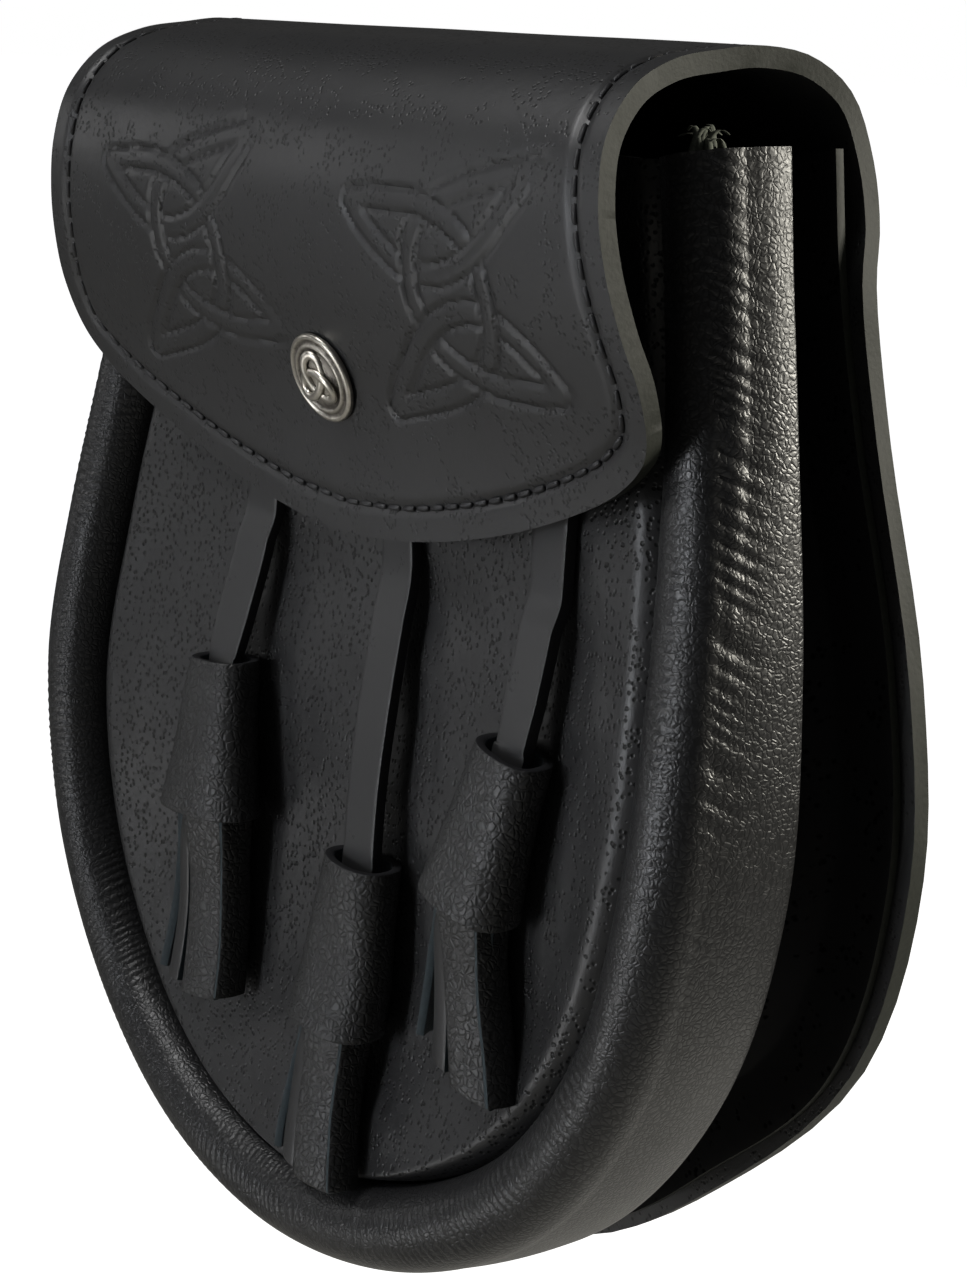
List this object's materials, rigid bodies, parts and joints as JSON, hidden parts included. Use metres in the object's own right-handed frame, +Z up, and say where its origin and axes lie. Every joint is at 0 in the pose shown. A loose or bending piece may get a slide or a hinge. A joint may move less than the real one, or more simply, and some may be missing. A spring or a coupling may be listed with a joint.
{
  "type": "sporran pouch",
  "caption": "Hanging leather day sporran: round-bottomed pouch with a padded roll, folded gusset, arched flap with a press stud, and leather tassels.",
  "frame": {"origin": "midway between the two strap loops on the back, in the middle of the channel that the belt strap passes through", "axes": "+X to the wearer's left, which is the viewer's right, +Y out of the back, towards the wearer, and +Z up; the front faces -Y"},
  "size_m": [0.1922, 0.0596, 0.2048],
  "materials": {
    "flap_leather": "satin black leather with a fine pin grain",
    "panel_leather": "satin black leather with a fine pin grain",
    "roll_leather": "soft black leather, wrinkled where it is gathered",
    "gusset_leather": "matt black leather",
    "tassel_leather": "pebbled black leather with a dark suede back",
    "stud_metal": "antiqued, dark in the recesses",
    "post_metal": "plain"
  },
  "bodies": {
    "root": {"back_and_flap": "flap_leather", "front_panel": "panel_leather", "padded_roll": "roll_leather", "gusset": "gusset_leather", "tassel_strap_left": "tassel_leather", "tassel_strap_middle": "tassel_leather", "tassel_strap_right": "tassel_leather", "tassel_collar_left": "tassel_leather", "tassel_collar_middle": "tassel_leather", "tassel_collar_right": "tassel_leather", "tassel_fringe_left": "tassel_leather", "tassel_fringe_middle": "tassel_leather", "tassel_fringe_right": "tassel_leather", "stud_cap": "stud_metal", "stud_post": "post_metal", "back_loop_left": "flap_leather", "back_loop_right": "flap_leather"}
  },
  "joints": []
}
